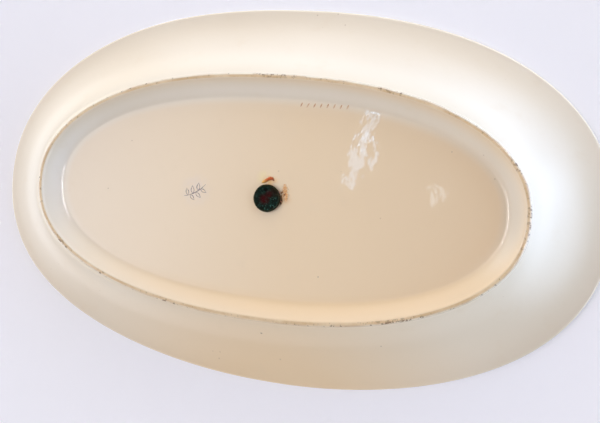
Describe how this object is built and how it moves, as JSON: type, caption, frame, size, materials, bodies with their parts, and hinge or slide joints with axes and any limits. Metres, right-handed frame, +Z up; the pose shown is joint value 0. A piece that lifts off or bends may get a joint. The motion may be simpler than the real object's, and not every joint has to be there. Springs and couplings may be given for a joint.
{
  "type": "oval serving bowl",
  "caption": "Shallow oval glazed porcelain serving bowl on a low oval foot ring, with a stamped seal stuck under its recessed base.",
  "frame": {"origin": "centre of the plane that the foot ring rests on", "axes": "+X along the bowl's length, +Y across it, +Z up out of the bowl's mouth"},
  "size_m": [0.386, 0.2312, 0.038],
  "materials": {
    "porcelain": "clear gloss glaze over ivory-white porcelain; foot ring edge ground bare",
    "dark_seal": "worn dark green seal with a low stamped relief",
    "red_wax": "old red-brown sealing wax",
    "orange_wax": "thin orange-red sealing wax, broken edges"
  },
  "bodies": {
    "root": {"bowl_body": "porcelain", "seal_wax_pad": "red_wax", "seal_disc": "dark_seal", "wax_shard": "orange_wax", "wax_drip": "red_wax", "wax_film": "orange_wax", "wax_crumb_large": "orange_wax", "wax_crumb_small": "orange_wax"}
  },
  "joints": []
}
